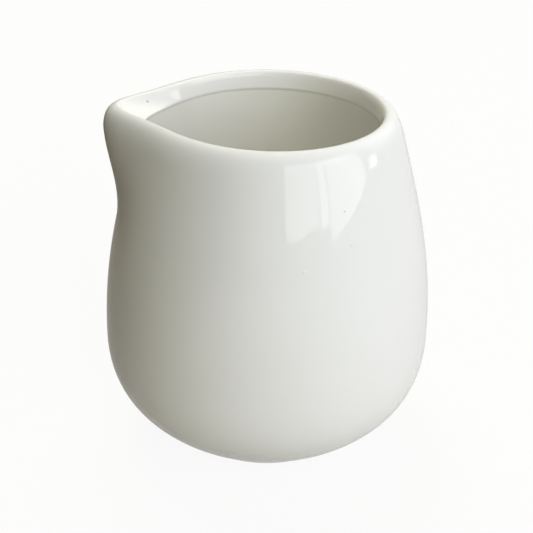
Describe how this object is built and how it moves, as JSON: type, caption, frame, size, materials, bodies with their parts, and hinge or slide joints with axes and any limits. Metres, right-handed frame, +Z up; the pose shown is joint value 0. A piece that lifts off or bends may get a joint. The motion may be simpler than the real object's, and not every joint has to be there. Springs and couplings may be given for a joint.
{
  "type": "cream jug",
  "caption": "Handleless porcelain cream jug: egg-shaped glazed body on a low bare foot, rounded rim with an inner collar and a pouring lip drawn out of it.",
  "frame": {"origin": "centre of the foot ring's resting face, on the body's axis", "axes": "+Z up along the body's axis; the pouring lip points along -X"},
  "size_m": [0.07, 0.07, 0.0752],
  "materials": {
    "porcelain": "matte",
    "glaze": "glossy"
  },
  "bodies": {
    "root": {"porcelain_body": "porcelain", "outer_glaze": "glaze", "liner_glaze": "glaze", "foot_ring": "porcelain", "base_glaze": "glaze"}
  },
  "joints": []
}
